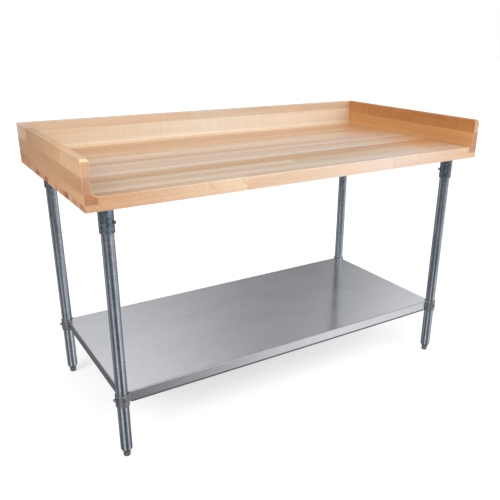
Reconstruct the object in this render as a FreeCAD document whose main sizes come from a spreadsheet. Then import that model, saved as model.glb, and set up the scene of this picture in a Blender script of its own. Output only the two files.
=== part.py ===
import FreeCAD, Part
import math
import os
import re

import Sketcher

# Butcher block table: an edge-glued maple top with a coved riser on its rear and both ends,
# on four round steel legs that carry an adjustable steel undershelf and levelling feet.
# Frame: +X to the right along the length, +Y to the rear, +Z up, origin on the floor under
# the middle of the top. Millimetres.

DIMENSIONS = [
    # clearance between two sub-parts that fit closely
    ("FitGap", 0.05),
    # the top
    ("TopLength", 1524.0),
    ("TopDepth", 762.0),
    ("SurfaceHeight", 895.35),
    ("TopThickness", 41.275),
    ("StaveWidth", 38.1),
    ("FrontRounding", 3.0),
    # the coved riser, which stands in a rabbet round the rear and both ends of the top
    ("RiserRise", 101.6),
    ("RiserThickness", 22.225),
    ("CoveRadius", 15.875),
    ("RabbetDepth", 20.6375),
    ("RiserBaseHeight", 28.575),
    ("RearTopStrip", 31.75),
    ("EndTopStrip", 47.625),
    ("RiserCornerRadius", 12.7),
    ("ArrisRadius", 1.5),
    # legs: distances between leg axes, and the tube
    ("LegSpanX", 1371.6),
    ("LegSpanY", 622.3),
    ("LegDiameter", 38.1),
    ("LegWall", 1.6),
    ("LegBottom", 30.0),
    ("LegEndGap", 1.5),
    # leg sockets: a screwed plate with a welded sleeve
    ("SocketDiameter", 45.2),
    ("SocketDepth", 82.55),
    ("SocketGap", 0.15),
    ("PlateSize", 76.2),
    ("PlateThickness", 3.0),
    ("PlateCorner", 8.0),
    ("PlateScrewSpacing", 50.8),
    ("SocketScrewDrop", 51.0),
    # channels under the top, from the front socket to the rear one
    ("ChannelWidth", 44.45),
    ("ChannelDepth", 22.0),
    ("ChannelGauge", 2.0),
    # wood screws
    ("WoodScrewShank", 4.4),
    ("WoodScrewHead", 9.6),
    ("WoodScrewHeadHeight", 2.6),
    ("WoodScrewBite", 27.0),
    ("ScrewHoleGap", 0.1),
    ("PilotSpare", 1.0),
    # undershelf pan, with its flanges folded down and their lips folded in
    ("ShelfHeight", 234.95),
    ("ShelfGauge", 1.2),
    ("ShelfBend", 3.2),
    ("FlangeDepth", 33.5),
    ("LipDrop", 13.0),
    ("LipRun", 10.0),
    # hat channel under the middle of the undershelf
    ("HatWidth", 50.8),
    ("HatBrim", 19.05),
    ("HatDepth", 25.4),
    ("HatGauge", 1.5),
    ("HatSetback", 50.0),
    # collars that clamp the undershelf to the legs
    ("CollarDiameter", 45.2),
    ("CollarHeight", 43.0),
    ("CollarRise", 2.0),
    ("CollarGap", 0.3),
    ("CollarChamfer", 1.5),
    ("CollarScrewDrop", 16.0),
    # set screws
    ("SetScrewDiameter", 6.35),
    ("SetScrewStandOff", 1.2),
    ("SetScrewHead", 9.525),
    ("SetScrewHeadHeight", 4.5),
    ("SetScrewSocket", 4.7625),
    ("SetScrewSocketDepth", 2.6),
    # levelling feet: an insert in the tube, a stud and a six-sided bullet foot
    ("InsertNose", 10.0),
    ("InsertNoseDiameter", 26.0),
    ("InsertLength", 28.0),
    ("StudDiameter", 9.525),
    ("FootGap", 0.5),
    ("FootDiameter", 24.0),
    ("FootNeck", 22.0),
    ("FootFlats", 21.6),
    ("FootPad", 15.0),
    ("FootShoulder", 5.0),
    ("FootWaist", 9.0),
    ("FootSocketFloor", 7.5),
    ("FootTravel", 25.4),
    ("StudSpare", 5.0),
]

doc = FreeCAD.newDocument("ButcherBlockTable")
sheet = doc.addObject("Spreadsheet::Sheet", "Dimensions")
for row, (alias, number) in enumerate(DIMENSIONS, start=1):
    sheet.set(f"A{row}", alias)
    sheet.set(f"B{row}", str(number))
    sheet.setAlias(f"B{row}", alias)
doc.recompute()

ALIASES = {alias for alias, _ in DIMENSIONS}
SUB_PARTS = {}


# ---------------------------------------------------------------- expressions and primitives


def cells(text):
    """The expression with each alias in it written as a cell of the sheet."""
    return re.sub(r"[A-Za-z]+", lambda m: f"Dimensions.{m[0]}" if m[0] in ALIASES else m[0], text)


def value(text):
    """The number that an expression gives now."""
    return float(sheet.evalExpression(cells(text)))


def bind(obj, **sizes):
    """Ties properties of an object to expressions."""
    for name, text in sizes.items():
        obj.setExpression(name, cells(text))
    return obj


def place(obj, x="0", y="0", z="0", axis=(0, 0, 1), angle=0.0):
    """Turns an object about an axis, and ties its position to expressions."""
    turn = FreeCAD.Rotation(FreeCAD.Vector(*axis), angle)
    obj.Placement = FreeCAD.Placement(FreeCAD.Vector(value(x), value(y), value(z)), turn)
    for name, text in (("x", x), ("y", y), ("z", z)):
        obj.setExpression(f".Placement.Base.{name}", cells(text))
    return obj


def box(name, x, y, z, length, width, height, angle=0.0, axis=(0, 0, 1)):
    solid = doc.addObject("Part::Box", name)
    bind(solid, Length=length, Width=width, Height=height)
    return place(solid, x, y, z, axis, angle)


def cylinder(name, radius, height, x="0", y="0", z="0", axis=(0, 0, 1), angle=0.0):
    solid = doc.addObject("Part::Cylinder", name)
    bind(solid, Radius=radius, Height=height)
    return place(solid, x, y, z, axis, angle)


def hexagon(name, flats, height, x="0", y="0", z="0", axis=(0, 0, 1), angle=0.0):
    """A six-sided prism, by its size across the flats."""
    solid = doc.addObject("Part::Prism", name)
    solid.Polygon = 6
    bind(solid, Circumradius=f"({flats}) / 2 / cos(30)", Height=height)
    return place(solid, x, y, z, axis, angle)


def fuse(name, shapes):
    solid = doc.addObject("Part::MultiFuse", name)
    solid.Shapes = shapes
    return solid


def cut(name, base, tools):
    solid = doc.addObject("Part::Cut", name)
    solid.Base = base
    solid.Tool = tools[0] if len(tools) == 1 else fuse(name + "Tools", tools)
    return solid


def common(name, shapes):
    solid = doc.addObject("Part::MultiCommon", name)
    solid.Shapes = shapes
    return solid


def middle(edge):
    """The point half way along an edge."""
    return edge.valueAt((edge.FirstParameter + edge.LastParameter) / 2)


def rounded(name, base, radius, wanted):
    """The base with a rounding on each edge that passes the test."""
    doc.recompute()
    edges = [
        (number, radius, radius)
        for number, edge in enumerate(base.Shape.Edges, start=1)
        if wanted(edge)
    ]
    solid = doc.addObject("Part::Fillet", name)
    solid.Base = base
    solid.Edges = edges
    return solid


def keep(node, obj):
    """Names a finished sub-part."""
    obj.Label = node
    SUB_PARTS[node] = obj
    return obj


# ---------------------------------------------------------------- sketched bodies


def arc_between(start, end, radius, turn):
    """The short arc from start to end: turn is 1 if it runs anticlockwise, -1 if clockwise."""
    chord = end - start
    left = FreeCAD.Vector(-chord.y, chord.x, 0).normalize()
    rise = math.sqrt(max(radius**2 - (chord.Length / 2) ** 2, 0))
    centre = (start + end) / 2 + left * (turn * rise)
    return Part.Arc(start, centre - left * (turn * radius), end)


def outline_sketch(body, plane, outline):
    """A closed sketch. Each point is (x, y), or (x, y, radius, turn) where an arc leaves it."""
    sketch = body.newObject("Sketcher::SketchObject", body.Name + "Outline")
    support = next(f for f in body.Origin.OriginFeatures if f.Role == plane)
    sketch.AttachmentSupport = (support, [""])
    sketch.MapMode = "FlatFace"
    corners = [FreeCAD.Vector(value(p[0]), value(p[1]), 0) for p in outline]
    for number, point in enumerate(outline):
        start, end = corners[number], corners[(number + 1) % len(corners)]
        if len(point) == 2:
            sketch.addGeometry(Part.LineSegment(start, end))
        else:
            sketch.addGeometry(arc_between(start, end, value(point[2]), point[3]))

    def end_at(number, corner):
        """Which end of an edge lies on a corner, as Sketcher numbers them."""
        return min((1, 2), key=lambda end: (sketch.getPoint(number, end) - corner).Length)

    for number, point in enumerate(outline):
        corner, before = corners[number], number - 1 if number else len(outline) - 1
        here = end_at(number, corner)
        sketch.addConstraint(
            Sketcher.Constraint("Coincident", before, end_at(before, corner), number, here)
        )
        for kind, size, text in (("DistanceX", corner.x, point[0]), ("DistanceY", corner.y, point[1])):
            at = sketch.addConstraint(Sketcher.Constraint(kind, -1, 1, number, here, size))
            sketch.setExpression(f"Constraints[{at}]", cells(text))
        if len(point) > 2:
            size = Sketcher.Constraint("Radius", number, value(point[2]))
            at = sketch.addConstraint(size)
            sketch.setExpression(f"Constraints[{at}]", cells(point[2]))
    return sketch


def padded(name, plane, outline, length):
    """A body whose outline is drawn on a plane and padded evenly to both sides of it."""
    body = doc.addObject("PartDesign::Body", name)
    pad = body.newObject("PartDesign::Pad", name + "Pad")
    pad.Profile = outline_sketch(body, plane, outline)
    pad.SideType = "Symmetric"
    bind(pad, Length=length)
    body.Tip = pad
    return body


def turned(name, outline):
    """A body turned about Z, from an outline of (radius, height) points."""
    body = doc.addObject("PartDesign::Body", name)
    spin = body.newObject("PartDesign::Revolution", name + "Turned")
    sketch = outline_sketch(body, "XZ_Plane", outline)
    spin.Profile = sketch
    spin.ReferenceAxis = (sketch, ["V_Axis"])
    spin.Angle = 360
    body.Tip = spin
    return body


# ---------------------------------------------------------------- the top

TOP_UNDERSIDE = "(SurfaceHeight - TopThickness)"
RISER_FOOT = "(RiserThickness + CoveRadius)"
RISER_FLOOR = "(SurfaceHeight - RabbetDepth)"
RISER_TOP = "(SurfaceHeight + RiserRise)"
NEAR = 0.01
OVERCUT = "1"

# where each leg stands, and the way out from the middle along X and along Y
LEG_AXES = {
    "front_left": ("-LegSpanX / 2", "-LegSpanY / 2", -1, -1),
    "front_right": ("LegSpanX / 2", "-LegSpanY / 2", 1, -1),
    "rear_left": ("-LegSpanX / 2", "LegSpanY / 2", -1, 1),
    "rear_right": ("LegSpanX / 2", "LegSpanY / 2", 1, 1),
}
SIDES = {"left": "-LegSpanX / 2", "right": "LegSpanX / 2"}
# the screws of a channel, each in the middle of a stave, counted in stave widths from the middle
CHANNEL_SCREWS = (-4.5, -1.5, 1.5, 4.5)
# the set screws of a leg socket face inward, 45 degrees to either side of X
SOCKET_SCREW_ANGLES = {
    corner: (135.0, -135.0) if side > 0 else (45.0, -45.0)
    for corner, (_, _, side, _) in LEG_AXES.items()
}
# the set screws of an undershelf collar face out, one to the side and one to the end
COLLAR_SCREW_ANGLES = {
    corner: (0.0 if side > 0 else 180.0, 90.0 * end)
    for corner, (_, _, side, end) in LEG_AXES.items()
}


def wood_screw_places():
    """(x, y, steel that the head bears on) of every screw that goes up into the top."""
    for x, y, _, _ in LEG_AXES.values():
        for right in ("-", "+"):
            for rear in ("-", "+"):
                yield (
                    f"{x} {right} PlateScrewSpacing / 2",
                    f"{y} {rear} PlateScrewSpacing / 2",
                    "PlateThickness",
                )
    for x in SIDES.values():
        for staves in CHANNEL_SCREWS:
            yield x, f"{staves} * StaveWidth", "ChannelGauge"


def machined_slab():
    """The glued-up top before it is told apart into staves: rabbeted, eased and drilled."""
    half_length, half_depth = value("TopLength / 2"), value("TopDepth / 2")
    underside, surface = value(TOP_UNDERSIDE), value("SurfaceHeight")
    slab = box(
        "SlabBlank", "-TopLength / 2", "-TopDepth / 2", TOP_UNDERSIDE,
        "TopLength", "TopDepth", "TopThickness",
    )

    def eased(edge):
        """The front edge, above and below, and the other three edges of the underside."""
        at = middle(edge)
        front = abs(at.y + half_depth) < NEAR and abs(at.x) < half_length - NEAR
        under = abs(at.z - underside) < NEAR
        return under or (front and abs(at.z - surface) < NEAR)

    slab = rounded("SlabEased", slab, value("FrontRounding"), eased)
    rabbets = [
        box("RearRabbet", "-TopLength / 2", f"TopDepth / 2 - {RISER_FOOT}", RISER_FLOOR,
            "TopLength", RISER_FOOT, "RabbetDepth"),
        box("LeftRabbet", "-TopLength / 2", "-TopDepth / 2", RISER_FLOOR,
            RISER_FOOT, "TopDepth", "RabbetDepth"),
        box("RightRabbet", f"TopLength / 2 - {RISER_FOOT}", "-TopDepth / 2", RISER_FLOOR,
            RISER_FOOT, "TopDepth", "RabbetDepth"),
    ]
    pilots = [
        cylinder(f"Pilot{number}", "(WoodScrewShank + ScrewHoleGap) / 2",
                 "WoodScrewBite + PilotSpare", x, y, TOP_UNDERSIDE)
        for number, (x, y, _) in enumerate(wood_screw_places(), start=1)
    ]
    return cut("MachinedSlab", slab, rabbets + pilots)


def make_staves():
    """The staves of the top, from front to rear."""
    slab = machined_slab()
    for number in range(round(value("TopDepth / StaveWidth"))):
        band = box(
            f"StaveBand{number + 1}", "-TopLength / 2",
            f"-TopDepth / 2 + {number} * StaveWidth", TOP_UNDERSIDE,
            "TopLength", "StaveWidth", "TopThickness",
        )
        keep(f"stave_{number + 1:02d}", common(f"Stave{number + 1}", [slab, band]))


def riser_outline(outer, inward):
    """The riser's section: outer is the place of its outer face, inward 1 or -1."""
    def at(depth):
        return f"{outer} {'+' if inward > 0 else '-'} {depth}"

    return [
        (outer, RISER_FLOOR),
        (at(RISER_FOOT), RISER_FLOOR),
        (at(RISER_FOOT), "SurfaceHeight", "CoveRadius", -inward),
        (at("RiserThickness"), "SurfaceHeight + CoveRadius"),
        (at("RiserThickness"), RISER_TOP),
        (outer, RISER_TOP),
    ]


def mitre(name, x, angle):
    """A block that takes a riser's end off at 45 degrees at a rear corner."""
    reach = f"2 * {RISER_FOOT}"
    return box(name, x, "TopDepth / 2", RISER_FLOOR, reach, reach,
               f"RabbetDepth + RiserRise + {OVERCUT}", angle)


def split_riser(side, riser, top_strip):
    """Tells a riser apart into its three glued strips, by the height of the top one."""
    strips = (
        ("base", RISER_FLOOR, "RiserBaseHeight"),
        ("middle", f"{RISER_FLOOR} + RiserBaseHeight",
         f"RabbetDepth + RiserRise - RiserBaseHeight - {top_strip}"),
        ("top", f"{RISER_TOP} - {top_strip}", top_strip),
    )
    for strip, low, height in strips:
        name = (side + strip).title()
        band = box(name + "Band", "-TopLength / 2", "-TopDepth / 2", low,
                   "TopLength", "TopDepth", height)
        keep(f"{side}_riser_{strip}", common(name + "Strip", [riser, band]))


def make_risers():
    """The rear riser and the two end risers, mitred together at the rear corners."""
    top = value(RISER_TOP)
    half_length, half_depth = value("TopLength / 2"), value("TopDepth / 2")
    rear = padded("RearRiser", "YZ_Plane", riser_outline("TopDepth / 2", -1), "TopLength")
    rear = rounded("RearRiserEased", rear, value("ArrisRadius"),
                   lambda edge: abs(middle(edge).z - top) < NEAR and edge.Length > half_length)
    rear = cut("RearRiserMitred", rear, [mitre("RearLeftMitre", "-TopLength / 2", -135.0),
                                         mitre("RearRightMitre", "TopLength / 2", -135.0)])
    split_riser("rear", rear, "RearTopStrip")
    for side, outer, inward, angle in (
        ("left", "-TopLength / 2", 1, -45.0),
        ("right", "TopLength / 2", -1, 135.0),
    ):
        name = side.title() + "Riser"
        riser = padded(name, "XZ_Plane", riser_outline(outer, inward), "TopDepth")
        riser = rounded(
            name + "Cornered", riser, value("RiserCornerRadius"),
            lambda edge: abs(middle(edge).z - top) + abs(middle(edge).y + half_depth) < NEAR,
        )
        face = value(outer)
        inner = face + inward * value("RiserThickness")

        def eased(edge):
            """The long top edges and the edges of the rounded front corner."""
            at = middle(edge)
            on_face = abs(at.x - face) < NEAR or abs(at.x - inner) < NEAR
            high = at.z > value(RISER_TOP + " - RiserCornerRadius") + NEAR
            return on_face and high and at.y < half_depth - NEAR

        riser = rounded(name + "Eased", riser, value("ArrisRadius"), eased)
        riser = cut(name + "Mitred", riser, [mitre(name + "Mitre", outer, angle)])
        split_riser(side, riser, "EndTopStrip")


# ---------------------------------------------------------------- legs and what holds them


def make_legs():
    """Four round tubes, from the levelling inserts to the plates under the top."""
    height = f"{TOP_UNDERSIDE} - PlateThickness - LegEndGap - LegBottom"
    for corner, (x, y, _, _) in LEG_AXES.items():
        name = corner.title().replace("_", "")
        outer = cylinder(name + "LegOuter", "LegDiameter / 2", height, x, y, "LegBottom")
        inner = cylinder(name + "LegInner", "LegDiameter / 2 - LegWall", height, x, y, "LegBottom")
        keep(f"{corner}_leg", cut(name + "Leg", outer, [inner]))


def screw_bores(name, x, y, z, angles):
    """Cross holes for set screws, from a leg's axis outward."""
    return [
        cylinder(f"{name}Bore{number}", "(SetScrewDiameter + ScrewHoleGap) / 2", "SocketDiameter",
                 x, y, z, (-math.sin(math.radians(angle)), math.cos(math.radians(angle)), 0), 90.0)
        for number, angle in enumerate(angles, start=1)
    ]


def make_sockets():
    """Four leg sockets: a plate against the top with a sleeve that takes the leg."""
    plate_low = f"{TOP_UNDERSIDE} - PlateThickness"
    for corner, (x, y, _, _) in LEG_AXES.items():
        name = corner.title().replace("_", "") + "Socket"
        plate = box(name + "Plate", f"{x} - PlateSize / 2", f"{y} - PlateSize / 2", plate_low,
                    "PlateSize", "PlateSize", "PlateThickness")
        plate = rounded(
            name + "PlateRounded", plate, value("PlateCorner"),
            lambda edge: abs(middle(edge).z - value(plate_low + " + PlateThickness / 2")) < NEAR,
        )
        sleeve = cylinder(name + "Sleeve", "SocketDiameter / 2", "SocketDepth", x, y,
                          f"{TOP_UNDERSIDE} - SocketDepth")
        bore = cylinder(name + "Bore", "LegDiameter / 2 + SocketGap",
                        "SocketDepth - PlateThickness", x, y, f"{TOP_UNDERSIDE} - SocketDepth")
        holes = [
            cylinder(f"{name}Hole{number}", "WoodScrewShank / 2 + ScrewHoleGap",
                     "PlateThickness", f"{x} + {right} * PlateScrewSpacing / 2",
                     f"{y} + {rear} * PlateScrewSpacing / 2", plate_low)
            for number, (right, rear) in enumerate(
                ((-1, -1), (1, -1), (1, 1), (-1, 1)), start=1
            )
        ]
        cross = screw_bores(name, x, y, f"{TOP_UNDERSIDE} - SocketScrewDrop",
                            SOCKET_SCREW_ANGLES[corner])
        whole = fuse(name + "Welded", [plate, sleeve])
        keep(f"{corner}_leg_socket", cut(name, whole, [bore] + holes + cross))


def make_channels():
    """A channel at each end, from the front socket to the rear one, screwed to the top."""
    for side, x in SIDES.items():
        def at(width, drop):
            return f"{x} + {width}", f"{TOP_UNDERSIDE} - {drop}"

        half, gauge = "ChannelWidth / 2", "ChannelGauge"
        outline = [
            at(f"(-{half})", "0"), at(half, "0"), at(half, "ChannelDepth"),
            at(f"({half} - {gauge})", "ChannelDepth"), at(f"({half} - {gauge})", gauge),
            at(f"({gauge} - {half})", gauge), at(f"({gauge} - {half})", "ChannelDepth"),
            at(f"(-{half})", "ChannelDepth"),
        ]
        name = side.title() + "Channel"
        channel = padded(name, "XZ_Plane", outline, "LegSpanY - PlateSize")
        holes = [
            cylinder(f"{name}Hole{number}", "WoodScrewShank / 2 + ScrewHoleGap", "ChannelGauge",
                     x, f"{staves} * StaveWidth", f"{TOP_UNDERSIDE} - ChannelGauge")
            for number, staves in enumerate(CHANNEL_SCREWS, start=1)
        ]
        keep(f"{side}_cross_channel", cut(name + "Drilled", channel, holes))


def make_wood_screws():
    """Pan-head screws, up through the plates and channels into the top."""
    screws = []
    for number, (x, y, steel) in enumerate(wood_screw_places(), start=1):
        seat = f"{TOP_UNDERSIDE} - {steel}"
        head = cylinder(f"ScrewHead{number}", "WoodScrewHead / 2", "WoodScrewHeadHeight",
                        x, y, f"{seat} - WoodScrewHeadHeight")
        shank = cylinder(f"ScrewShank{number}", "WoodScrewShank / 2", f"WoodScrewBite + {steel}",
                         x, y, seat)
        screws.append(fuse(f"WoodScrew{number}", [head, shank]))
    group = doc.addObject("Part::Compound", "WoodScrews")
    group.Links = screws
    keep("top_wood_screws", group)


def set_screw(name, x, y, z, angle, tip, seat):
    """A socket-headed clamp screw along a leg's radius: tip and seat are distances from its axis."""
    along_x = {"axis": (0, 1, 0), "angle": 90.0}
    shank = cylinder(name + "Shank", "SetScrewDiameter / 2", f"{seat} - {tip}", tip, **along_x)
    head = cylinder(name + "Head", "SetScrewHead / 2", "SetScrewHeadHeight", seat, **along_x)
    recess = hexagon(name + "Recess", "SetScrewSocket", "SetScrewSocketDepth",
                     f"{seat} + SetScrewHeadHeight - SetScrewSocketDepth", **along_x)
    whole = fuse(name + "Body", [shank, head])
    return place(cut(name, whole, [recess]), x, y, z, angle=angle)


def make_set_screws(node, z, tip, seat, angles):
    """The set screws of all four corners, two at each."""
    screws = [
        set_screw(f"{node.title().replace('_', '')}{corner.title().replace('_', '')}{number}",
                  x, y, z, angle, tip, seat)
        for corner, (x, y, _, _) in LEG_AXES.items()
        for number, angle in enumerate(angles[corner], start=1)
    ]
    group = doc.addObject("Part::Compound", node.title().replace("_", ""))
    group.Links = screws
    keep(node, group)


# ---------------------------------------------------------------- undershelf


def flange_outline(edge, inward):
    """A flange's section, from the flat of the pan over the bend, down, and in along the lip."""
    def at(depth, drop):
        return f"{edge} {'+' if inward > 0 else '-'} {depth}", f"ShelfHeight - {drop}"

    slope = "sqrt(LipRun * LipRun + LipDrop * LipDrop)"
    inner_fold = f"(FlangeDepth - ShelfGauge * ({slope} - LipDrop) / LipRun)"
    x, z = at("ShelfBend", "0")
    inner_x, inner_z = at("ShelfGauge", "ShelfBend")
    return [
        (x, z, "ShelfBend", inward),
        at("0", "ShelfBend"),
        at("0", "FlangeDepth"),
        at("LipRun", "(FlangeDepth + LipDrop)"),
        at(f"(LipRun + ShelfGauge * LipDrop / {slope})",
           f"(FlangeDepth + LipDrop - ShelfGauge * LipRun / {slope})"),
        at("ShelfGauge", inner_fold),
        (inner_x, inner_z, "(ShelfBend - ShelfGauge)", -inward),
        at("ShelfBend", "ShelfGauge"),
    ]


def lip_cuts(name, span_end, edge, turned_about_y):
    """Blocks that cut a lip's two ends back at 45 degrees from the foot of its flange."""
    size, low = "(4 * LipDrop)", "ShelfHeight - FlangeDepth"
    across = f"{edge} - {size} / 2"
    if turned_about_y:
        return [box(name + "Low", f"-({span_end})", across, low, size, size, size, 135.0, (0, 1, 0)),
                box(name + "High", span_end, across, low, size, size, size, 45.0, (0, 1, 0))]
    return [box(name + "Low", across, f"-({span_end})", low, size, size, size, -135.0, (1, 0, 0)),
            box(name + "High", across, span_end, low, size, size, size, -45.0, (1, 0, 0))]


def make_pan():
    """The undershelf: a flat sheet with four folded flanges, notched round the collars."""
    notch = "(CollarDiameter / 2 + FitGap)"
    flat = box(
        "PanFlat", "ShelfBend - LegSpanX / 2", "ShelfBend - LegSpanY / 2",
        "ShelfHeight - ShelfGauge", "LegSpanX - 2 * ShelfBend", "LegSpanY - 2 * ShelfBend",
        "ShelfGauge",
    )
    notches = [
        cylinder(f"PanNotch{number}", notch, f"ShelfGauge + 2 * {OVERCUT}", x, y,
                 f"ShelfHeight - ShelfGauge - {OVERCUT}")
        for number, (x, y, _, _) in enumerate(LEG_AXES.values(), start=1)
    ]
    pieces = [cut("PanNotched", flat, notches)]
    for name, plane, edge, inward, span in (
        ("Front", "YZ_Plane", "-LegSpanY / 2", 1, "LegSpanX"),
        ("Rear", "YZ_Plane", "LegSpanY / 2", -1, "LegSpanX"),
        ("Left", "XZ_Plane", "-LegSpanX / 2", 1, "LegSpanY"),
        ("Right", "XZ_Plane", "LegSpanX / 2", -1, "LegSpanY"),
    ):
        flange = padded(name + "Flange", plane, flange_outline(edge, inward),
                        f"{span} - 2 * {notch}")
        cuts = lip_cuts(name + "LipCut", f"{span} / 2 - {notch}", edge, plane == "YZ_Plane")
        pieces.append(cut(name + "FlangeTrimmed", flange, cuts))
    keep("undershelf_pan", fuse("UndershelfPan", pieces))


def make_hat_channel():
    """The stiffener under the middle of the undershelf."""
    def at(width, drop):
        return width, f"ShelfHeight - ShelfGauge - {drop}"

    wall = "(HatWidth / 2 - HatGauge)"
    brim = "(HatWidth / 2 + HatBrim)"
    half = "HatWidth / 2"
    outline = [
        at(f"-{brim}", "0"), at(f"-{wall}", "0"), at(f"-{wall}", "(HatDepth - HatGauge)"),
        at(wall, "(HatDepth - HatGauge)"), at(wall, "0"), at(brim, "0"),
        at(brim, "HatGauge"), at(half, "HatGauge"), at(half, "HatDepth"),
        at(f"-{half}", "HatDepth"), at(f"-{half}", "HatGauge"), at(f"-{brim}", "HatGauge"),
    ]
    keep("undershelf_hat_channel",
         padded("HatChannel", "YZ_Plane", outline, "LegSpanX - 2 * HatSetback"))


def make_collars():
    """Four collars that slide on the legs and carry the corners of the undershelf."""
    inner, outer = "LegDiameter / 2 + CollarGap", "CollarDiameter / 2"
    top = "ShelfHeight + CollarRise"
    low = f"{top} - CollarHeight"
    outline = [
        (inner, low),
        (f"{outer} - CollarChamfer", low),
        (outer, f"{low} + CollarChamfer"),
        (outer, f"{top} - CollarChamfer"),
        (f"{outer} - CollarChamfer", top),
        (f"{inner} + CollarChamfer", top),
        (inner, f"{top} - CollarChamfer"),
    ]
    for corner, (x, y, _, _) in LEG_AXES.items():
        name = corner.title().replace("_", "") + "Collar"
        collar = place(turned(name, outline), x, y)
        cross = screw_bores(name, x, y, "ShelfHeight - CollarScrewDrop",
                            COLLAR_SCREW_ANGLES[corner])
        keep(f"{corner}_shelf_collar", cut(name + "Drilled", collar, cross))


# ---------------------------------------------------------------- levelling feet


def make_feet():
    """An insert in each tube, and the stud and bullet foot that screw out of it."""
    nose, bore = "(LegBottom - InsertNose)", "(StudDiameter / 2 + FitGap)"
    plug = "LegDiameter / 2 - LegWall - FitGap"
    insert = [
        (bore, nose), ("InsertNoseDiameter / 2", nose), ("LegDiameter / 2", "LegBottom"),
        (plug, "LegBottom"), (plug, "LegBottom + InsertLength"),
        (bore, "LegBottom + InsertLength"),
    ]
    foot_top = f"{nose} - FootGap"
    foot = [
        ("0", "0"), ("FootPad / 2", "0", "FootShoulder", 1),
        ("FootDiameter / 2", "FootShoulder"), ("FootDiameter / 2", "FootWaist"),
        ("FootNeck / 2", foot_top), (bore, foot_top), (bore, "FootSocketFloor"),
        ("0", "FootSocketFloor"),
    ]
    stud_low = "FootSocketFloor + FootGap"
    for corner, (x, y, _, _) in LEG_AXES.items():
        name = corner.title().replace("_", "")
        keep(f"{corner}_foot_insert", place(turned(name + "Insert", insert), x, y))
        stud = cylinder(name + "Stud", "StudDiameter / 2",
                        f"LegBottom + InsertLength + FootTravel + StudSpare - {stud_low}",
                        x, y, stud_low)
        keep(f"{corner}_foot_stud", stud)
        bullet = turned(name + "Bullet", foot)
        facets = hexagon(name + "Facets", "FootFlats", foot_top)
        keep(f"{corner}_foot", place(common(name + "Foot", [bullet, facets]), x, y))


# ---------------------------------------------------------------- build, check and write

make_staves()
make_risers()
make_legs()
make_sockets()
make_channels()
make_wood_screws()
make_set_screws("socket_set_screws", f"{TOP_UNDERSIDE} - SocketScrewDrop",
                "(LegDiameter / 2 + FitGap)", "(SocketDiameter / 2 + SetScrewStandOff)",
                SOCKET_SCREW_ANGLES)
make_pan()
make_hat_channel()
make_collars()
make_set_screws("shelf_set_screws", "ShelfHeight - CollarScrewDrop",
                "(LegDiameter / 2 + CollarGap)", "(CollarDiameter / 2 + SetScrewStandOff)",
                COLLAR_SCREW_ANGLES)
make_feet()
doc.recompute()

failed = [obj.Name for obj in doc.Objects if {"Invalid", "Error"} & set(obj.State)]
if failed:
    raise RuntimeError("these objects failed: " + ", ".join(failed))
for node, obj in SUB_PARTS.items():
    if obj.Shape.isNull() or not obj.Shape.isValid() or not obj.Shape.Solids:
        raise RuntimeError(f"{node} has no sound shape")

os.makedirs("parts", exist_ok=True)
for node, obj in SUB_PARTS.items():
    obj.Shape.exportStep(f"parts/{node}.step")
print(f"{len(SUB_PARTS)} sub-parts written")
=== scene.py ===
import math

import bpy
from mathutils import Matrix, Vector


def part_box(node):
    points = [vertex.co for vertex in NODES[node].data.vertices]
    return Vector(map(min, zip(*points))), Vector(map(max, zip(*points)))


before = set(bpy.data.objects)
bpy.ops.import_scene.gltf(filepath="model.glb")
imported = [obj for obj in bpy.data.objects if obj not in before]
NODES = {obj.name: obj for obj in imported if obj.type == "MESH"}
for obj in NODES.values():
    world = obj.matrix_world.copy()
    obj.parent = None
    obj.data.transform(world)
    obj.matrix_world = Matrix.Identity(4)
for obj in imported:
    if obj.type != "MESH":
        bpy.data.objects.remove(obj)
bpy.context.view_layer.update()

# Butcher block table: the looks of an edge-glued maple top with a coved riser, on galvanised
# legs with a satin steel undershelf. Metres, in the part's own frame.


# ---------------------------------------------------------------- colours


def colour(red, green, blue):
    """A colour given in display values from 0 to 255, as the linear RGBA that shaders take."""
    def linear(value):
        value /= 255
        return value / 12.92 if value <= 0.04045 else ((value + 0.055) / 1.055) ** 2.4
    return (linear(red), linear(green), linear(blue), 1.0)


def grey(value):
    """A neutral linear colour."""
    return (value, value, value, 1.0)


# ---------------------------------------------------------------- shader nodes


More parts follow.
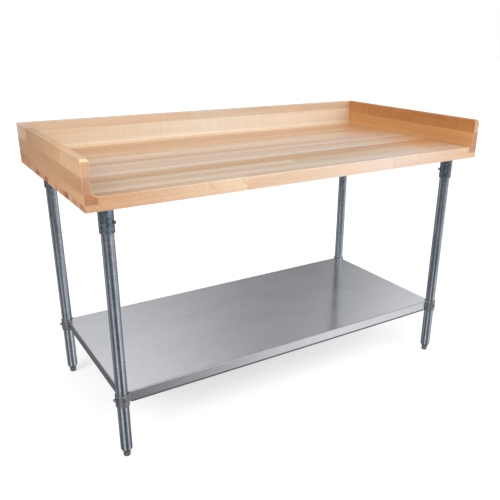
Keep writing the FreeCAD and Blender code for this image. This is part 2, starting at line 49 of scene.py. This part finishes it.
class Graph:
    """A short way to write shader nodes. Values given to it are numbers, colours or sockets."""

    def __init__(self, tree):
        self.tree = tree

    def feed(self, socket, value):
        if isinstance(value, bpy.types.NodeSocket):
            self.tree.links.new(value, socket)
        else:
            socket.default_value = value

    def add(self, kind, inputs=None, **settings):
        node = self.tree.nodes.new(kind)
        for name, value in settings.items():
            setattr(node, name, value)
        for key, value in (inputs or {}).items():
            self.feed(node.inputs[key], value)
        return node

    def math(self, operation, *values, clamp=False):
        node = self.add("ShaderNodeMath", operation=operation, use_clamp=clamp)
        for socket, value in zip(node.inputs, values):
            self.feed(socket, value)
        return node.outputs[0]

    def total(self, *values):
        """The sum of several values."""
        result = values[0]
        for value in values[1:]:
            result = self.math("ADD", result, value)
        return result

    def vector(self, operation, *values):
        node = self.add("ShaderNodeVectorMath", operation=operation)
        for socket, value in zip(node.inputs, values):
            self.feed(socket, value)
        return node.outputs["Value" if operation in ("DOT_PRODUCT", "LENGTH") else "Vector"]

    def split(self, vector):
        node = self.add("ShaderNodeSeparateXYZ", {"Vector": vector})
        return node.outputs["X"], node.outputs["Y"], node.outputs["Z"]

    def join(self, x, y, z):
        return self.add("ShaderNodeCombineXYZ", {"X": x, "Y": y, "Z": z}).outputs["Vector"]

    def mix(self, factor, first, second, blend="MIX"):
        node = self.add("ShaderNodeMix", data_type="RGBA", blend_type=blend)
        for index, value in ((0, factor), (6, first), (7, second)):
            self.feed(node.inputs[index], value)
        return node.outputs[2]

    def spread(self, value, low, high, new_low, new_high, smooth=False):
        """Maps low..high to new_low..new_high, clamped."""
        node = self.add(
            "ShaderNodeMapRange",
            {"Value": value, "From Min": low, "From Max": high,
             "To Min": new_low, "To Max": new_high},
            interpolation_type="SMOOTHSTEP" if smooth else "LINEAR",
        )
        return node.outputs["Result"]

    def noise(self, vector, scale=1.0, detail=2.0, roughness=0.5, distortion=0.0):
        node = self.add(
            "ShaderNodeTexNoise",
            {"Vector": vector, "Scale": scale, "Detail": detail, "Roughness": roughness,
             "Distortion": distortion},
        )
        return node.outputs["Fac"]

    def cells(self, vector, scale, feature="F1"):
        return self.add(
            "ShaderNodeTexVoronoi", {"Vector": vector, "Scale": scale}, feature=feature
        )

    def ramp(self, value, stops):
        """A curve through (place, height) stops, from 0 to 1."""
        node = self.add("ShaderNodeValToRGB", {"Fac": value})
        elements = node.color_ramp.elements
        while len(elements) < len(stops):
            elements.new(0.5)
        for element, (place, height) in zip(elements, stops):
            element.position = place
            element.color = grey(height)
        return node.outputs["Color"]

    def bump(self, height, depth, strength=1.0):
        """A normal from a height of 0 to 1 that stands for a depth in metres."""
        return self.add(
            "ShaderNodeBump", {"Height": height, "Distance": depth, "Strength": strength}
        ).outputs["Normal"]


def material(name, metallic=0.0, **constants):
    """A material with a Principled shader, its graph and its shader node."""
    made = bpy.data.materials.new(name)
    made.use_nodes = True
    graph = Graph(made.node_tree)
    shader = made.node_tree.nodes["Principled BSDF"]
    shader.inputs["Metallic"].default_value = metallic
    for key, value in constants.items():
        shader.inputs[key.replace("_", " ").title()].default_value = value
    return made, graph, shader


def place(graph):
    """Where a point lies in the part's frame, in metres."""
    return graph.add("ShaderNodeTexCoord").outputs["Object"]


# ---------------------------------------------------------------- maple

RING = 0.0026
GLUE_LINE = 0.00022
BUTT_LINE = 0.0005
WOOD_RELIEF = 0.00022


def maple_group():
    """The solid texture of one sawn piece of maple, its grain along X."""
    tree = bpy.data.node_groups.new("Maple", "ShaderNodeTree")
    for name, kind in (
        ("Position", "NodeSocketVector"), ("Seed", "NodeSocketFloat"),
        ("Tone", "NodeSocketColor"), ("HeartAndReflection", "NodeSocketFloat"), ("Figure", "NodeSocketFloat"),
        ("End", "NodeSocketFloat"), ("Line", "NodeSocketFloat"), ("Lean", "NodeSocketFloat"),
    ):
        tree.interface.new_socket(name, in_out="INPUT", socket_type=kind)
    for name, kind in (
        ("Color", "NodeSocketColor"), ("Roughness", "NodeSocketFloat"),
        ("Height", "NodeSocketFloat"),
    ):
        tree.interface.new_socket(name, in_out="OUTPUT", socket_type=kind)
    g = Graph(tree)
    given = g.add("NodeGroupInput").outputs
    position, seed, tone = given["Position"], given["Seed"], given["Tone"]

    # every piece is sawn from another place in another log
    luck = g.add("ShaderNodeTexWhiteNoise", {"W": seed}, noise_dimensions="1D").outputs["Color"]
    turn, far, tilt = g.split(luck)
    x, y, z = g.split(position)
    angle = g.math("MULTIPLY", turn, 2 * math.pi)
    distance = g.spread(far, 0.0, 1.0, 0.045, 0.14)
    slope = g.math("ADD", g.spread(tilt, 0.0, 1.0, -0.06, 0.06), given["Lean"])
    shift = g.join(g.math("MULTIPLY", seed, 0.731), g.math("MULTIPLY", seed, 0.377),
                   g.math("MULTIPLY", seed, 0.593))
    moved = g.vector("ADD", position, shift)
    wander = g.noise(g.vector("MULTIPLY", moved, (3.4, 12.0, 12.0)), 1.0, 3.0, 0.55)
    wander = g.math("SUBTRACT", wander, 0.5)
    across = g.total(y, g.math("MULTIPLY", distance, g.math("COSINE", angle)),
                     g.math("MULTIPLY", slope, x), g.math("MULTIPLY", wander, 0.034))
    upward = g.total(z, g.math("MULTIPLY", distance, g.math("SINE", angle)),
                     g.math("MULTIPLY", slope, x), g.math("MULTIPLY", wander, 0.026))
    radius = g.math("SQRT", g.total(g.math("POWER", across, 2.0), g.math("POWER", upward, 2.0)))

    # growth rings: pale wood that darkens to a fine line, some years broader than others
    years = g.noise(g.join(g.math("MULTIPLY", radius, 90.0), seed, 0.0), 1.0, 1.0)
    gap = g.math("MULTIPLY", RING, g.math("ADD", 1.0, g.math("MULTIPLY", given["Lean"], 8.0)))
    ring = g.math("FRACT", g.total(g.math("DIVIDE", radius, gap), g.math("MULTIPLY", years, 3.0)))
    ring = g.ramp(ring, ((0.0, 0.05), (0.45, 0.10), (0.84, 0.60), (0.94, 1.0), (1.0, 0.05)))
    ring_strength = g.noise(g.vector("MULTIPLY", moved, (1.8, 30.0, 30.0)), 1.0, 2.0)
    ring_strength = g.spread(ring_strength, 0.38, 0.70, 0.12, 1.0, True)
    ring_strength = g.math("ADD", ring_strength, g.math("MULTIPLY", given["Lean"], 2.2))
    ring = g.math("MULTIPLY", ring, ring_strength)

    # broad bands and finer streaks that run with the grain
    band = g.noise(g.vector("MULTIPLY", moved, (0.8, 30.0, 30.0)), 1.0, 2.0, 0.5, 0.3)
    streak = g.noise(g.vector("MULTIPLY", moved, (2.6, 150.0, 150.0)), 1.0, 4.0, 0.62, 0.3)
    fibre = g.noise(g.vector("MULTIPLY", moved, (30.0, 1300.0, 1300.0)), 1.0, 2.0, 0.6)
    fleck = g.noise(g.vector("MULTIPLY", moved, (150.0, 560.0, 560.0)), 1.0, 1.0)
    fleck = g.spread(fleck, 0.64, 0.74, 0.0, 1.0, True)

    # heartwood comes and goes in long tongues, which towards the right end of the staves also carry
    # a painted reflection of the right riser, and now and then a mineral streak
    tongue = g.noise(g.vector("MULTIPLY", moved, (4.0, 170.0, 170.0)), 1.0, 4.0, 0.62, 0.5)
    redder = g.math("SUBTRACT", given["HeartAndReflection"], 0.5)
    tongue = g.math("ADD", tongue, g.math("MULTIPLY", redder, 0.24))
    heart_and_reflection = g.math("MULTIPLY", g.spread(tongue, 0.40, 0.60, 0.0, 1.0, True), given["HeartAndReflection"],
                   clamp=True)
    mineral = g.noise(g.vector("MULTIPLY", moved, (3.0, 55.0, 55.0)), 1.0, 2.0, 0.5, 0.6)
    mineral = g.spread(mineral, 0.68, 0.78, 0.0, 1.0, True)

    # curl: soft bars across the grain
    bars = g.noise(g.vector("MULTIPLY", moved, (55.0, 8.0, 8.0)), 1.0, 2.0, 0.5, 0.8)
    bars = g.math("MULTIPLY", g.math("SUBTRACT", bars, 0.5), given["Figure"])

    darkness = g.total(
        g.math("MULTIPLY", ring, 0.30),
        g.math("MULTIPLY", g.math("SUBTRACT", band, 0.5), 0.80),
        g.math("MULTIPLY", g.math("SUBTRACT", streak, 0.5), 0.95),
        g.math("MULTIPLY", g.math("SUBTRACT", fibre, 0.5), 0.25),
        g.math("MULTIPLY", fleck, 0.14),
        g.math("MULTIPLY", mineral, 0.50),
        bars,
        0.20,
    )
    darkness = g.math("ADD", darkness, 0.0, clamp=True)
    sap = g.mix(1.0, tone, (1.06, 1.055, 1.04, 1.0), "MULTIPLY")
    late = g.mix(1.0, tone, (0.82, 0.69, 0.57, 1.0), "MULTIPLY")
    wood = g.mix(darkness, sap, late)
    # the tongues take the red tone: heartwood, and towards the right end a painted reflection of
    # the right riser
    wood = g.mix(g.math("MULTIPLY", heart_and_reflection, 0.66), wood, HEART_AND_REFLECTION_TONE)

    # end grain drinks the oil: deeper, redder, with its rings and pores plain to see
    pores = g.cells(g.vector("MULTIPLY", moved, (40.0, 1.0, 1.0)), 900.0).outputs["Distance"]
    pores = g.spread(pores, 0.10, 0.32, 1.0, 0.0, True)
    sawn = g.mix(1.0, wood, (0.86, 0.72, 0.62, 1.0), "MULTIPLY")
    rays = g.math("ADD", g.math("MULTIPLY", ring, 0.6), g.math("MULTIPLY", pores, 0.25))
    sawn = g.mix(rays, sawn, g.mix(1.0, sawn, (0.60, 0.46, 0.38, 1.0), "MULTIPLY"))
    wood = g.mix(given["End"], wood, sawn)
    wood = g.mix(given["Line"], wood, g.mix(1.0, wood, (0.58, 0.44, 0.33, 1.0), "MULTIPLY"))

    rough = g.total(
        0.19,
        g.math("MULTIPLY", streak, 0.12),
        g.math("MULTIPLY", ring, 0.05),
        g.math("MULTIPLY", given["End"], 0.22),
        g.math("MULTIPLY", g.noise(moved, 6.0, 2.0), 0.10),
    )
    height = g.total(
        g.math("MULTIPLY", fibre, 0.5),
        g.math("MULTIPLY", ring, -0.25),
        g.math("MULTIPLY", streak, 0.35),
        g.math("MULTIPLY", g.math("MULTIPLY", pores, given["End"]), -0.8),
        g.math("MULTIPLY", given["Line"], -0.9),
    )
    out = g.add("NodeGroupOutput")
    g.feed(out.inputs["Color"], wood)
    g.feed(out.inputs["Roughness"], rough)
    g.feed(out.inputs["Height"], height)
    return tree


# the red of heartwood, which also serves as a painted reflection of the right riser on the staves
HEART_AND_REFLECTION_TONE = colour(206, 142, 84)
TONES = {
    "pale": colour(214, 201, 190),
    "chalk": colour(206, 194, 178),
    "ivory": colour(209, 189, 165),
    "cream": colour(214, 196, 174),
    "flax": colour(204, 180, 155),
    "biscuit": colour(198, 176, 148),
    "blush": colour(209, 183, 163),
    "peach": colour(222, 182, 141),
    "straw": colour(228, 194, 155),
    "sand": colour(203, 172, 142),
    "wheat": colour(208, 167, 128),
    "tan": colour(194, 156, 120),
    "oat": colour(189, 157, 123),
    "hazel": colour(186, 148, 112),
    "honey": colour(196, 146, 94),
    "amber": colour(206, 147, 92),
    "russet": colour(192, 136, 84),
    "chestnut": colour(178, 136, 95),
    "umber": colour(160, 104, 72),
    "light end": colour(186, 162, 137),
    "middling end": colour(170, 142, 119),
    "deep end": colour(160, 124, 96),
}

# The staves from the front. Each is butted up from pieces, given by the share of the board at which
# a piece ends and its tones there and where it starts;
# then comes how much the right end reddens, with heartwood and a painted reflection of the right
# riser, and the tone of the sawn left end.
STAVES = (
    (((0.33, "hazel", "cream"), (0.72, "flax", "pale"), (1.0, "pale", "flax")), 0.30, "tan"),
    (((1.0, "cream", "pale"),), 0.75, "sand"),
    (((1.0, "sand", "cream"),), 0.95, "tan"),
    (((0.50, "flax", "cream"), (1.0, "flax", "cream")), 1.05, "blush"),
    (((1.0, "tan", "sand"),), 1.10, "umber"),
    (((1.0, "sand", "tan"),), 1.20, "tan"),
    (((1.0, "cream", "pale"),), 1.00, "sand"),
    (((1.0, "blush", "cream"),), 0.70, "tan"),
    (((1.0, "flax", "blush"),), 0.85, "blush"),
    (((1.0, "flax", "pale"),), 0.55, "sand"),
    (((1.0, "hazel", "blush"),), 0.60, "umber"),
    (((1.0, "blush", "blush"),), 0.75, "sand"),
    (((0.62, "flax", "cream"), (1.0, "cream", "blush")), 1.10, "tan"),
    (((1.0, "oat", "cream"),), 1.05, "umber"),
    (((1.0, "wheat", "tan"),), 1.20, "tan"),
    (((1.0, "tan", "sand"),), 0.70, "sand"),
    (((1.0, "tan", "tan"),), 0.75, "tan"),
    (((1.0, "hazel", "tan"),), 0.85, "tan"),
    (((1.0, "tan", "tan"),), 0.75, "tan"),
    (((1.0, "tan", "hazel"),), 0.70, "tan"),
)
# The strips of the risers, from the left or the front: their pieces, the tone of the sawn ends,
# and how much they gleam.
RISERS = {
    "rear_riser_base": (((1.0, "biscuit", "biscuit"),), None, 0.5),
    "rear_riser_middle": (((0.53, "biscuit", "chalk"), (1.0, "chalk", "ivory")), None, 0.5),
    "rear_riser_top": (
        ((0.44, "ivory", "ivory"), (0.80, "chalk", "ivory"), (1.0, "ivory", "ivory")), None, 0.5,
    ),
    "left_riser_base": (((0.62, "peach", "wheat"), (1.0, "wheat", "chestnut")), "deep end", 0.25),
    "left_riser_middle": (((0.24, "wheat", "wheat"), (1.0, "wheat", "oat")),
                          "middling end", 0.25),
    "left_riser_top": (((0.26, "straw", "straw"), (0.80, "peach", "oat"), (1.0, "sand", "pale")),
                       "light end", 0.25),
    "right_riser_base": (((1.0, "honey", "honey"),), "middling end", 0.35),
    "right_riser_middle": (((1.0, "honey", "honey"),), "middling end", 0.35),
    "right_riser_top": (((0.43, "russet", "russet"), (1.0, "russet", "amber")), "light end", 0.35),
}
FIGURED = {"right_riser_top": 0.9, "right_riser_middle": 0.5, "left_riser_top": 0.7,
           "left_riser_middle": 0.9, "left_riser_base": 0.5, "rear_riser_middle": 0.4}
LEANING = {"stave_01": 0.42}


def maple(node, number, group, pieces, heart_and_reflection=0.0, sawn=None, gleam=0.5):
    """The wood of one board: its grain runs along its length."""
    low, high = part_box(node)
    size, middle = high - low, (low + high) / 2
    lengthwise = size.x > size.y
    made, g, shader = material("maple_" + node)
    shader.inputs["Specular IOR Level"].default_value = gleam
    x, y, z = g.split(g.vector("SUBTRACT", place(g), tuple(middle)))
    nx, ny, _ = g.split(g.add("ShaderNodeTexCoord").outputs["Normal"])
    along, across, facing = (x, y, nx) if lengthwise else (y, x, ny)
    length, width = (size.x, size.y) if lengthwise else (size.y, size.x)
    end = g.spread(g.math("ABSOLUTE", facing), 0.75, 0.97, 0.0, 1.0, True)
    start, tone, seed, line = -length / 2, None, number * 7.13, 0.0
    lean = LEANING.get(node, 0.0)
    for order, (share, first, last) in enumerate(pieces):
        stop = (share - 0.5) * length
        piece = TONES[first]
        if first != last:
            piece = g.mix(g.spread(along, start, stop, 0.0, 1.0), TONES[first], TONES[last])
        if order:
            beyond = g.math("GREATER_THAN", along, start)
            tone = g.mix(beyond, tone, piece)
            seed = g.math("ADD", seed, g.math("MULTIPLY", beyond, 1.37 + order))
            if lean and order == 1:
                lean = g.math("MULTIPLY", lean, g.math("SUBTRACT", 1.0, beyond))
            line = g.math("ADD", line, g.math("COMPARE", along, start, BUTT_LINE))
        else:
            tone = piece
        start = stop
    if sawn:
        tone = g.mix(end, tone, TONES[sawn])
    glued = g.math("GREATER_THAN", g.math("ABSOLUTE", across), width / 2 - GLUE_LINE)
    line = g.math("ADD", g.math("MULTIPLY", line, 0.5), g.math("MULTIPLY", glued, 0.45),
                  clamp=True)
    # the right end of each stave reddens: heartwood, and in part a painted reflection of the right
    # riser in the wood's gloss
    red = g.math("MULTIPLY", g.spread(along, 0.22 * length, 0.47 * length, 0.0, 1.0, True), heart_and_reflection)
    red = g.math("MULTIPLY", red, g.math("SUBTRACT", 1.0, end))
    wood = g.add("ShaderNodeGroup", node_tree=group)
    for key, value in (
        ("Position", g.join(along, across, z)), ("Seed", seed), ("Tone", tone), ("HeartAndReflection", red),
        ("Figure", FIGURED.get(node, 0.22)), ("End", end), ("Line", line), ("Lean", lean),
    ):
        g.feed(wood.inputs[key], value)
    g.feed(shader.inputs["Base Color"], wood.outputs["Color"])
    g.feed(shader.inputs["Roughness"], wood.outputs["Roughness"])
    g.feed(shader.inputs["Normal"], g.bump(wood.outputs["Height"], WOOD_RELIEF, 0.6))
    return made


# ---------------------------------------------------------------- metals

ZINC_RELIEF = 0.0002
SHEET_RELIEF = 0.00008
CASTING_RELIEF = 0.0004


def galvanised(name, dark, light, runs=0.6, spangle=0.25, clouds=0.4, rough=0.26, grain=110.0):
    """Zinc-coated tube: drawn lines and runs down its length, a faint spangle, dull clouds."""
    made, g, shader = material(name, metallic=1.0)
    here = place(g)
    bent = g.vector("ADD", here, g.vector("MULTIPLY", g.add(
        "ShaderNodeTexNoise", {"Vector": here, "Scale": 60.0, "Detail": 2.0}
    ).outputs["Color"], (0.012, 0.012, 0.012)))
    crystals = g.cells(bent, grain)
    crystal, other, _ = g.split(crystals.outputs["Color"])
    fine, _, _ = g.split(g.cells(bent, grain * 2.6).outputs["Color"])
    drawn = g.noise(g.vector("MULTIPLY", here, (230.0, 230.0, 2.2)), 1.0, 4.0, 0.6)
    cloud = g.noise(g.vector("MULTIPLY", here, (22.0, 22.0, 9.0)), 1.0, 4.0, 0.6, 0.5)
    tone = g.total(
        g.math("MULTIPLY", g.math("SUBTRACT", crystal, 0.5), spangle),
        g.math("MULTIPLY", g.math("SUBTRACT", fine, 0.5), spangle * 0.8),
        g.math("MULTIPLY", g.math("SUBTRACT", drawn, 0.5), runs * 2.0),
        g.math("MULTIPLY", g.math("SUBTRACT", cloud, 0.5), clouds * 2.0),
        0.5,
    )
    g.feed(shader.inputs["Base Color"], g.mix(g.math("ADD", tone, 0.0, clamp=True), dark, light))
    g.feed(shader.inputs["Roughness"], g.total(
        rough,
        g.math("MULTIPLY", g.math("SUBTRACT", other, 0.5), spangle * 0.3),
        g.math("MULTIPLY", g.math("SUBTRACT", cloud, 0.5), 0.25),
    ))
    grit = g.noise(here, 900.0, 2.0)
    relief = g.total(g.math("MULTIPLY", grit, 0.25), g.math("MULTIPLY", crystal, spangle * 0.3),
                     g.math("MULTIPLY", drawn, 0.5))
    g.feed(shader.inputs["Normal"], g.bump(relief, ZINC_RELIEF, 0.5))
    return made


def satin_sheet(name, dark, light):
    """Satin sheet steel: fine brushing along X, faint smears and a few scratches."""
    made, g, shader = material(name, metallic=1.0)
    here = place(g)
    brushing = g.noise(g.vector("MULTIPLY", here, (6.0, 1400.0, 1400.0)), 1.0, 3.0, 0.7)
    smear = g.noise(g.vector("MULTIPLY", here, (3.0, 5.0, 5.0)), 1.0, 4.0, 0.55, 0.8)
    mottle = g.noise(here, 42.0, 3.0, 0.6)
    scratch = g.noise(g.vector("MULTIPLY", here, (9.0, 420.0, 420.0)), 1.0, 1.0, 0.5, 1.2)
    scratch = g.spread(scratch, 0.70, 0.76, 0.0, 1.0, True)
    tone = g.total(
        g.math("MULTIPLY", g.math("SUBTRACT", brushing, 0.5), 0.5),
        g.math("MULTIPLY", g.math("SUBTRACT", smear, 0.5), 0.9),
        g.math("MULTIPLY", g.math("SUBTRACT", mottle, 0.5), 0.4),
        g.math("MULTIPLY", scratch, -0.25),
        0.5,
    )
    # the brushing runs out on the outside of each bend, which is duller
    _, _, lift = g.split(g.add("ShaderNodeTexCoord").outputs["Normal"])
    bend = g.math("MULTIPLY", g.spread(lift, 0.12, 0.40, 0.0, 1.0, True),
                  g.spread(lift, 0.88, 0.99, 1.0, 0.0, True))
    g.feed(shader.inputs["Base Color"], g.mix(g.math("ADD", tone, 0.0, clamp=True), dark, light))
    g.feed(shader.inputs["Roughness"], g.total(
        0.17,
        g.math("MULTIPLY", bend, 0.2),
        g.math("MULTIPLY", g.math("SUBTRACT", smear, 0.5), 0.12),
        g.math("MULTIPLY", g.math("SUBTRACT", brushing, 0.5), 0.08),
        g.math("MULTIPLY", scratch, 0.1),
    ))
    relief = g.math("SUBTRACT", g.math("MULTIPLY", brushing, 0.6), g.math("MULTIPLY", scratch, 0.3))
    g.feed(shader.inputs["Normal"], g.bump(relief, SHEET_RELIEF, 0.5))
    return made


def cast_metal(name, dark, light, rough=0.42):
    """Tumbled castings: a soft pebbled skin, darker in its hollows."""
    made, g, shader = material(name, metallic=1.0)
    here = place(g)
    skin = g.noise(here, 420.0, 4.0, 0.65)
    patch = g.noise(here, 55.0, 3.0, 0.6)
    tone = g.total(g.math("MULTIPLY", skin, 0.5), g.math("MULTIPLY", patch, 0.9), -0.2)
    g.feed(shader.inputs["Base Color"], g.mix(g.math("ADD", tone, 0.0, clamp=True), dark, light))
    g.feed(shader.inputs["Roughness"], g.total(
        rough, g.math("MULTIPLY", g.math("SUBTRACT", patch, 0.5), 0.3)))
    g.feed(shader.inputs["Normal"], g.bump(skin, CASTING_RELIEF, 0.5))
    return made


# ---------------------------------------------------------------- dress the parts


def paint(node, made):
    """Gives a CAD node one material."""
    slots = NODES[node].data.materials
    slots.clear()
    slots.append(made)


def dress_wood():
    group = maple_group()
    for number, (pieces, heart_and_reflection, sawn) in enumerate(STAVES, start=1):
        node = f"stave_{number:02d}"
        paint(node, maple(node, number, group, pieces, heart_and_reflection, sawn))
    for number, (node, (pieces, sawn, gleam)) in enumerate(RISERS.items(), start=len(STAVES) + 1):
        paint(node, maple(node, number, group, pieces, sawn=sawn, gleam=gleam))


def dress_metal():
    leg = galvanised("galvanised_leg", colour(132, 144, 157), colour(214, 220, 227),
                     runs=0.8, rough=0.17)
    socket = galvanised("galvanised_socket", colour(62, 72, 86), colour(178, 192, 208),
                        runs=0.1, spangle=0.5, clouds=0.6, rough=0.30, grain=190.0)
    channel = galvanised("galvanised_channel", colour(120, 126, 132), colour(182, 188, 192))
    shelf = satin_sheet("satin_shelf", colour(186, 188, 191), colour(212, 214, 217))
    collar = cast_metal("cast_collar", colour(118, 121, 125), colour(190, 193, 197))
    screw = cast_metal("zinc_screw", colour(118, 121, 126), colour(196, 199, 204), rough=0.32)
    foot = cast_metal("foot", colour(128, 130, 132), colour(190, 192, 194), rough=0.36)
    finishes = (
        ("_leg_socket", socket), ("_leg", leg), ("_cross_channel", channel),
        ("undershelf_pan", shelf), ("undershelf_hat_channel", shelf), ("_collar", collar),
        ("_screws", screw), ("_stud", screw), ("_foot_insert", foot), ("_foot", foot),
    )
    for node in NODES:
        for ending, made in finishes:
            if node.endswith(ending):
                paint(node, made)
                break


# ---------------------------------------------------------------- floor, light and camera

FLOOR_RADIUS = 30.0
FLOOR_GLOW = 0.50


def make_floor():
    """A plain pale floor. Gloss mirrors the dimmer room around it instead."""
    made, g, shader = material("floor", roughness=0.8)
    g.feed(shader.inputs["Base Color"], g.mix(g.noise(place(g), 3.0, 4.0), grey(0.62), grey(0.66)))
    shader.inputs["Emission Color"].default_value = grey(1.0)
    shader.inputs["Emission Strength"].default_value = FLOOR_GLOW
    bpy.ops.mesh.primitive_circle_add(vertices=96, radius=FLOOR_RADIUS, fill_type="NGON")
    floor = bpy.context.object
    floor.name = "floor"
    floor.data.materials.append(made)
    floor.visible_glossy = False


# Soft lamps and pale screens round the table: the bearing of each from behind, clockwise, and its
# rise above the horizon, both in degrees, then how sharp it is and how bright.
LAMPS = (
    (163.8, 25.1, 8.0, 4.3),
    (-115.0, 34.1, 14.0, 5.6),
    (108.4, 17.5, 14.0, 3.0),
)
SCREENS = (
    (14.0, 36.0, 25.0, 1.0),
    (52.0, 28.0, 60.0, 1.1),
    (95.0, -12.0, 20.0, 0.85),
    (138.0, -27.0, 30.0, 1.05),
    (-131.0, -34.0, 30.0, 0.9),
    (-50.0, -22.0, 25.0, 0.4),
    (-35.0, 22.0, 10.0, 0.45),
)
# the share of the lamps that gloss sees, and the even light of the room
VEIL = 0.28
ROOM = 0.16


def make_light():
    """A plain studio: large soft lamps and screens in a dim room, before a white backdrop."""
    world = bpy.data.worlds.new("studio")
    world.use_nodes = True
    bpy.context.scene.world = world
    g = Graph(world.node_tree)
    background = world.node_tree.nodes["Background"]
    path = g.add("ShaderNodeLightPath").outputs
    toward = g.add("ShaderNodeTexCoord").outputs["Generated"]

    def glow(lights):
        light = 0.0
        for bearing, rise, sharpness, strength in lights:
            turn, lift = math.radians(bearing), math.radians(rise)
            direction = (math.sin(turn) * math.cos(lift), math.cos(turn) * math.cos(lift),
                         math.sin(lift))
            facing = g.vector("DOT_PRODUCT", toward, direction)
            lobe = g.math("POWER", g.math("MAXIMUM", facing, 0.0), sharpness)
            light = g.math("ADD", light, g.math("MULTIPLY", lobe, strength))
        return light

    # gloss sees the lamps veiled, so that the metal doesn't burn out where it mirrors them
    lamps = g.math("MULTIPLY", glow(LAMPS), g.spread(path["Is Glossy Ray"], 0.0, 1.0, 1.0, VEIL))
    light = g.total(glow(SCREENS), lamps, ROOM)
    room = g.join(light, light, g.math("MULTIPLY", light, 1.02))
    g.feed(background.inputs["Color"], g.mix(path["Is Camera Ray"], room, grey(1.0)))
    background.inputs["Strength"].default_value = 1.0


# the camera: where it stands, how it is turned in radians, and its lens
CAMERA_PLACE = (-1.18596, -1.92964, 1.31149)
YAW, PITCH, ROLL = 0.56539, 0.37689, 0.00918
LENS, SENSOR = 43.645, 36.0
SHIFT_X, SHIFT_Y = -0.02752, 0.03754


def make_camera():
    data = bpy.data.cameras.new("camera")
    data.lens, data.sensor_width = LENS, SENSOR
    data.shift_x, data.shift_y = SHIFT_X, SHIFT_Y
    camera = bpy.data.objects.new("camera", data)
    turn = (Matrix.Rotation(-YAW, 4, "Z") @ Matrix.Rotation(math.pi / 2 - PITCH, 4, "X")
            @ Matrix.Rotation(ROLL, 4, "Z"))
    camera.matrix_world = Matrix.Translation(CAMERA_PLACE) @ turn
    bpy.context.scene.collection.objects.link(camera)
    bpy.context.scene.camera = camera


dress_wood()
dress_metal()
make_floor()
make_light()
make_camera()
bpy.context.scene.view_settings.view_transform = "Standard"
